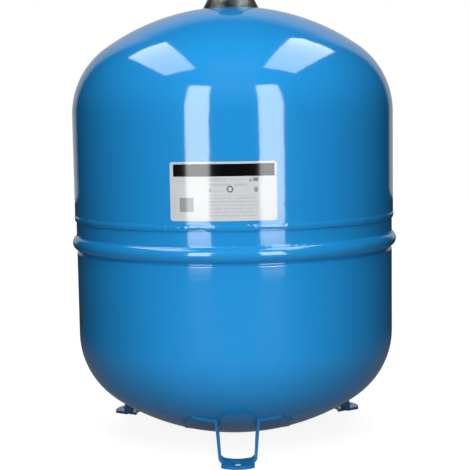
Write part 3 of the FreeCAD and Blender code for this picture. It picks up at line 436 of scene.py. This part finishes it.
THREAD_PITCH = 2.309 * MM
THREAD_TURNS = 8
THREAD_CREST = 16.6 * MM
THREAD_ROOT = 15.15 * MM
THREAD_LENGTH = 22.0 * MM           # boss's top to the shoulder
THREAD_STEPS = 96                   # points in one turn
RIDGE_TUCK = 0.2 * MM               # the ridge's base, inside the boss's wall
RIDGE_POINT = 0.2 * MM              # what the crest's rounding takes off
RIDGE_ROUND = 0.3 * MM
CONE_HEIGHT = 24.0 * MM             # shoulder to the head's apex, which the bore cuts away
BORE = 13.5 * MM
BORE_CHAMFER = 0.8 * MM
EDGE_CHAMFER = 0.6 * MM
SPIGOT = 18.0 * MM
SPIGOT_STEP = 1.5 * MM
SHOULDER_RADIUS = 20.5 * MM
BOSS_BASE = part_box("connection_boss")[0].z
BOSS_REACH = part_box("connection_boss")[1].x
SHOULDER = BOSS_TOP - THREAD_LENGTH
HEAD_TOP = SHOULDER - CONE_HEIGHT
SEAT = HEAD_TOP - CROWN_RADIUS + math.sqrt(CROWN_RADIUS ** 2 - BOSS_REACH ** 2)

boss = turned("threaded_boss", [
    (BORE, BOSS_BASE),
    (BORE, BOSS_TOP - BORE_CHAMFER),
    (BORE + BORE_CHAMFER, BOSS_TOP),
    (THREAD_ROOT - EDGE_CHAMFER, BOSS_TOP),
    (THREAD_ROOT, BOSS_TOP - EDGE_CHAMFER),
    (THREAD_ROOT, SHOULDER),
    (SHOULDER_RADIUS - EDGE_CHAMFER, SHOULDER),
    (SHOULDER_RADIUS, SHOULDER - EDGE_CHAMFER),
    (BOSS_REACH, SEAT),
    (BOSS_REACH - EDGE_CHAMFER, SEAT - SPIGOT_STEP),
    (SPIGOT, SEAT - SPIGOT_STEP),
    (SPIGOT, BOSS_BASE),
])

ridge_height = THREAD_CREST - THREAD_ROOT + RIDGE_TUCK + RIDGE_POINT
bpy.ops.object.select_all(action="DESELECT")
bpy.ops.mesh.primitive_circle_add(
    vertices=3, radius=THREAD_PITCH / math.sqrt(3), rotation=(0, math.radians(90), 0),
    location=(0, THREAD_ROOT, SHOULDER + THREAD_PITCH / 2))
ridge = bpy.context.object
ridge.name = "thread_ridge"
bpy.ops.object.transform_apply(location=True, rotation=True, scale=True)
bpy.ops.object.mode_set(mode="EDIT")
bpy.ops.mesh.select_all(action="SELECT")
base_line = min(vertex.co.y for vertex in bmesh.from_edit_mesh(ridge.data).verts)
bpy.ops.transform.resize(value=(1, ridge_height / (THREAD_PITCH * math.sqrt(3) / 2), 1),
                         center_override=(0, base_line, 0))
bpy.ops.transform.translate(value=(0, THREAD_ROOT - RIDGE_TUCK - base_line, 0))
bpy.ops.mesh.select_all(action="DESELECT")
profile = bmesh.from_edit_mesh(ridge.data)
max(profile.verts, key=lambda vertex: vertex.co.y).select = True
bmesh.update_edit_mesh(ridge.data)
bpy.ops.mesh.bevel(offset=RIDGE_ROUND, segments=3, affect="VERTICES")
bpy.ops.object.mode_set(mode="OBJECT")
wind = ridge.modifiers.new("wind", "SCREW")
wind.axis = "Z"
wind.angle = 2 * math.pi
wind.screw_offset = THREAD_PITCH
wind.iterations = THREAD_TURNS
wind.steps = wind.render_steps = THREAD_STEPS
bpy.ops.object.modifier_apply(modifier="wind")
bpy.ops.object.mode_set(mode="EDIT")
bpy.ops.mesh.select_all(action="SELECT")
bpy.ops.mesh.fill_holes(sides=0)
mend()
boss.select_set(True)
bpy.context.view_layer.objects.active = boss
bpy.ops.object.join()
finish_piece(boss, ZINC)
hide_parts("connection_boss")


# Feet: pressed straps with softened edges, and an arc for their inner edge on the floor

FOOT_TURNS = {"foot_front": 0.0, "foot_right": 120.0, "foot_left": -120.0}   # degrees from the front
HOLE_CIRCLE = 164.0 * MM
PAD_BACK = 18.0 * MM                # bolt hole to the pad's inner edge
LEG_BACK = 28.0 * MM                # bolt hole to the legs' lower back corners
HALF_FOOT = 20.75 * MM              # half the strap's width
ARC_STEPS = 12                      # steps of the arc on each side of its middle
INNER_TOP = 4.5 * MM                # higher than the inner edge's sheet, which is 3 mm thick
INNER_MARGIN = 0.5 * MM
CROSS_EDGE = 10 * MM                # only edges that run across the strap are longer
STRAP_ROUND = 0.7 * MM              # rounding of the strap's edges under the paint
STRAP_MERGE = 0.005 * MM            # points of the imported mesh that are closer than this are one


def draw_back(strap, turn):
    """Draw the strap's inner edge on the floor back in an arc, which ends at the legs' lower corners."""
    outward = Vector((math.sin(math.radians(turn)), -math.cos(math.radians(turn)), 0))
    aside = Vector((-outward.y, outward.x, 0))

    def inner(vertex):
        """Whether a point is on the strap's inner edge, low down."""
        back_there = vertex.co.dot(outward) < HOLE_CIRCLE - PAD_BACK + INNER_MARGIN
        return back_there and vertex.co.z < INNER_TOP

    bpy.ops.object.mode_set(mode="EDIT")
    bpy.ops.mesh.select_all(action="DESELECT")
    bpy.ops.mesh.select_mode(type="EDGE")
    mesh = bmesh.from_edit_mesh(strap.data)
    for edge in mesh.edges:
        crosses = edge.calc_length() > CROSS_EDGE
        edge.select = crosses and all(inner(vertex) for vertex in edge.verts)
    bmesh.update_edit_mesh(strap.data)
    bpy.ops.mesh.subdivide(number_cuts=2 * ARC_STEPS - 1)
    bpy.ops.mesh.select_mode(type="VERT")
    for step in range(1, ARC_STEPS + 1):
        bpy.ops.mesh.select_all(action="DESELECT")
        mesh = bmesh.from_edit_mesh(strap.data)
        for vertex in mesh.verts:
            across = min(round(abs(vertex.co.dot(aside)) / HALF_FOOT * ARC_STEPS), ARC_STEPS)
            vertex.select = inner(vertex) and across == step
        mesh.select_flush_mode()
        bmesh.update_edit_mesh(strap.data)
        back = (LEG_BACK - PAD_BACK) * (step / ARC_STEPS) ** 2
        bpy.ops.transform.translate(value=outward * -back)
    bpy.ops.object.mode_set(mode="OBJECT")


for foot, turn in FOOT_TURNS.items():
    bpy.ops.object.select_all(action="DESELECT")
    strap = bpy.data.objects.new(foot + "_strap", nodes[foot].data.copy())
    scene.collection.objects.link(strap)
    strap.select_set(True)
    bpy.context.view_layer.objects.active = strap
    strap.data.materials.clear()
    bpy.ops.mesh.customdata_custom_splitnormals_clear()
    bpy.ops.object.mode_set(mode="EDIT")
    mend(STRAP_MERGE)
    draw_back(strap, turn)
    soften = strap.modifiers.new("soften", "BEVEL")
    soften.width = STRAP_ROUND
    soften.segments = 2
    soften.limit_method = "ANGLE"
    soften.angle_limit = math.radians(50)
    bpy.ops.object.modifier_apply(modifier="soften")
    # The straps take the darker copy of the enamel: painted shade, not a paint of their own.
    finish_piece(strap, SHADED_FOOT_ENAMEL, angle=40)
    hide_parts(foot)


# Studio

PANEL_FADE = 0.16                   # height over which a panel's lower end fades in


def make_lamp(name, wide, tall, power, place, turn):
    """A soft box: a rectangle of light that the camera doesn't see."""
    data = bpy.data.lights.new(name, "AREA")
    data.shape = "RECTANGLE"
    data.size = wide
    data.size_y = tall
    data.energy = power
    lamp = bpy.data.objects.new(name, data)
    scene.collection.objects.link(lamp)
    lamp.location = place
    lamp.rotation_euler = turn
    lamp.visible_camera = False
    return lamp


def make_panel(name, azimuth, distance, low, high, width, power):
    """An upright soft box that faces the tank; azimuth is from the front, + to the right."""
    turn = math.radians(azimuth)
    place = (distance * math.sin(turn), -distance * math.cos(turn), (low + high) / 2)
    panel = make_lamp(name, width, high - low, power, place, (math.radians(90), 0, turn))
    panel.visible_diffuse = False
    data = panel.data
    data.use_nodes = True
    tree = data.node_tree
    tree.nodes.clear()
    point = add(tree, "NewGeometry").outputs["Position"]
    height = add(tree, "SeparateXYZ", {"Vector": point}).outputs["Z"]
    fade = add(tree, "MapRange", {"Value": height, "From Min": low,
                                  "From Max": low + PANEL_FADE}).outputs["Result"]
    glow = add(tree, "Emission", {"Strength": fade}).outputs["Emission"]
    add(tree, "OutputLight", {"Surface": glow})


def make_ceiling(name, left, right, front, back, height, power):
    """A level soft box overhead; the head mirrors it as one of the two upper patches."""
    place = ((left + right) / 2, (front + back) / 2, height)
    lamp = make_lamp(name, right - left, back - front, power, place, (0, 0, 0))
    lamp.visible_diffuse = False


PANEL_POWER = 13.7
LEFT_CEILING_POWER = 14.0
RIGHT_CEILING_POWER = 16.0
FRONT_POWER = 9.2
BOUNCE_POWER = 0.34
FILL_POWER = 3.0
REAR_POWER = 10.0
PANEL_AWAY = 1.5
PANEL_LOW, PANEL_HIGH = 0.02, 1.31
CEILING_HEIGHT = 1.64

# The gloss paint mirrors these four soft boxes, which give no light to the colours.
make_panel("left_soft_box", -22.7, PANEL_AWAY, PANEL_LOW, PANEL_HIGH, 0.40, PANEL_POWER)
make_panel("right_soft_box", 24.6, PANEL_AWAY, PANEL_LOW, PANEL_HIGH, 0.42, PANEL_POWER)
make_ceiling("left_ceiling_box", -1.15, -0.53, -0.80, 0.60, CEILING_HEIGHT, LEFT_CEILING_POWER)
make_ceiling("right_ceiling_box", 0.46, 1.08, -0.82, 0.74, CEILING_HEIGHT, RIGHT_CEILING_POWER)

# These lamps light the colours, and the gloss paint doesn't mirror them: one above the camera, one for
# what the white floor throws back up, a weak one on each side and one behind the tank. Each has its
# width, height, power, place, pitch and turn.
for name, wide, tall, power, place, pitch, turn in (
        ("front_soft_box", 0.5, 0.9, FRONT_POWER, (0, -0.70, 1.00), 47.1, 0),
        ("floor_bounce", 0.4, 0.2, BOUNCE_POWER, (0, -0.42, 0.12), 97.0, 0),
        ("left_fill", 0.5, 1.3, FILL_POWER, (-0.75, -1.28, 0.70), 90.0, -30.4),
        ("right_fill", 0.5, 1.3, FILL_POWER, (0.75, -1.28, 0.70), 90.0, 30.4),
        ("rear_fill", 1.2, 0.6, REAR_POWER, (0, 1.10, 1.20), 52.3, 180.0)):
    lamp = make_lamp(name, wide, tall, power, place, (math.radians(pitch), 0, math.radians(turn)))
    lamp.visible_glossy = False

# The world is white for the camera. The gloss paint mirrors a dim room with a patch of white backdrop
# behind the tank, whose borders are slopes: sideways or up, over the way back.
ROOM_LIGHT = 0.03                   # what the room gives to the colours
DARK_ROOM = 0.004                   # what the gloss paint mirrors of the room, and of the backdrop
BACKDROP_GLOW = 0.5
BACKDROP_SIDE, BACKDROP_SIDE_FULL = 0.74, 0.56
BACKDROP_TOP, BACKDROP_TOP_FULL = 1.05, 0.7

world = bpy.data.worlds.new("white_studio")
scene.world = world
world.use_nodes = True
tree = world.node_tree
tree.nodes.clear()
ray = add(tree, "LightPath").outputs
way = add(tree, "SeparateXYZ", {"Vector": add(tree, "TexCoord").outputs["Generated"]}).outputs
behind = add(tree, "Math", {0: way["Y"], 1: 0.001}, operation="MAXIMUM").outputs["Value"]
aside = add(tree, "Math", {0: way["X"]}, operation="ABSOLUTE").outputs["Value"]
sideways = add(tree, "Math", {0: aside, 1: behind}, operation="DIVIDE").outputs["Value"]
upward = add(tree, "Math", {0: way["Z"], 1: behind}, operation="DIVIDE").outputs["Value"]
within_sides = add(tree, "MapRange", {"Value": sideways, "From Min": BACKDROP_SIDE,
                                      "From Max": BACKDROP_SIDE_FULL}).outputs["Result"]
within_top = add(tree, "MapRange", {"Value": upward, "From Min": BACKDROP_TOP,
                                    "From Max": BACKDROP_TOP_FULL}).outputs["Result"]
backdrop = add(tree, "Math", {0: within_sides, 1: within_top}, operation="MULTIPLY").outputs["Value"]
room = add(tree, "MapRange", {"Value": backdrop, "To Min": DARK_ROOM,
                              "To Max": BACKDROP_GLOW}).outputs["Result"]
seen = add(tree, "Mix", {"Factor": ray["Is Glossy Ray"], "A": ROOM_LIGHT, "B": room}).outputs["Result"]
seen = add(tree, "Mix", {"Factor": ray["Is Camera Ray"], "A": seen, "B": 1.0}).outputs["Result"]
sky = add(tree, "Background", {"Color": paint("#ffffff"), "Strength": seen}).outputs["Background"]
add(tree, "OutputWorld", {"Surface": sky})

# The floor is matt paper. For the camera it also glows, more with distance, so that it comes out white.
# The gloss paint mirrors only a weak glow near the tank, and for all other rays the floor is plain grey.
FLOOR_SIZE = 8.0
SEEN_NEAR, SEEN_FAR = 0.5, 1.4
SEEN_NEAR_GLOW, SEEN_FAR_GLOW = 0.9, 1.0
MIRRORED_NEAR, MIRRORED_FAR = 0.3, 0.8
MIRRORED_GLOW = 0.13

bpy.ops.object.select_all(action="DESELECT")
bpy.ops.mesh.primitive_plane_add(size=FLOOR_SIZE, location=(0, 0, 0))
floor = bpy.context.object
floor.name = "floor"
material, tree, place = new_material("white_floor")
ray = add(tree, "LightPath").outputs
away = add(tree, "VectorMath", {0: place}, operation="LENGTH").outputs["Value"]
white = add(tree, "MapRange", {"Value": away, "From Min": SEEN_NEAR, "From Max": SEEN_FAR,
                               "To Min": SEEN_NEAR_GLOW, "To Max": SEEN_FAR_GLOW}).outputs["Result"]
near = add(tree, "MapRange", {"Value": away, "From Min": MIRRORED_FAR, "From Max": MIRRORED_NEAR,
                              "To Max": MIRRORED_GLOW}).outputs["Result"]
glow = add(tree, "Mix", {"Factor": ray["Is Camera Ray"], "A": 0.0, "B": white}).outputs["Result"]
glow = add(tree, "Mix", {"Factor": ray["Is Glossy Ray"], "A": glow, "B": near}).outputs["Result"]
shade = add(tree, "Mix", {"Factor": ray["Is Glossy Ray"], "A": paint("#808080"),
                          "B": paint("#000000")}, data_type="RGBA").outputs["Result"]
finish_material(tree, Base_Color=shade, Roughness=0.8, Emission_Color=paint("#ffffff"),
                Emission_Strength=glow)
floor.data.materials.append(material)

CAMERA_AWAY = 1.33
CAMERA_RISE = 0.1086                # above the seam
CAMERA_TILT = 0.0985                # radians below level
CAMERA_ROLL = 0.0157
CAMERA_LENS = 84.64
CAMERA_SHIFT = 0.0013
data = bpy.data.cameras.new("camera")
data.lens = CAMERA_LENS
data.sensor_width = 36.0
data.shift_x = CAMERA_SHIFT
camera = bpy.data.objects.new("camera", data)
scene.collection.objects.link(camera)
camera.location = (0.0, -CAMERA_AWAY, SEAM + CAMERA_RISE)
camera.rotation_mode = "ZYX"
camera.rotation_euler = (math.pi / 2 - CAMERA_TILT, 0.0, -CAMERA_ROLL)
scene.camera = camera

scene.view_settings.view_transform = "Standard"
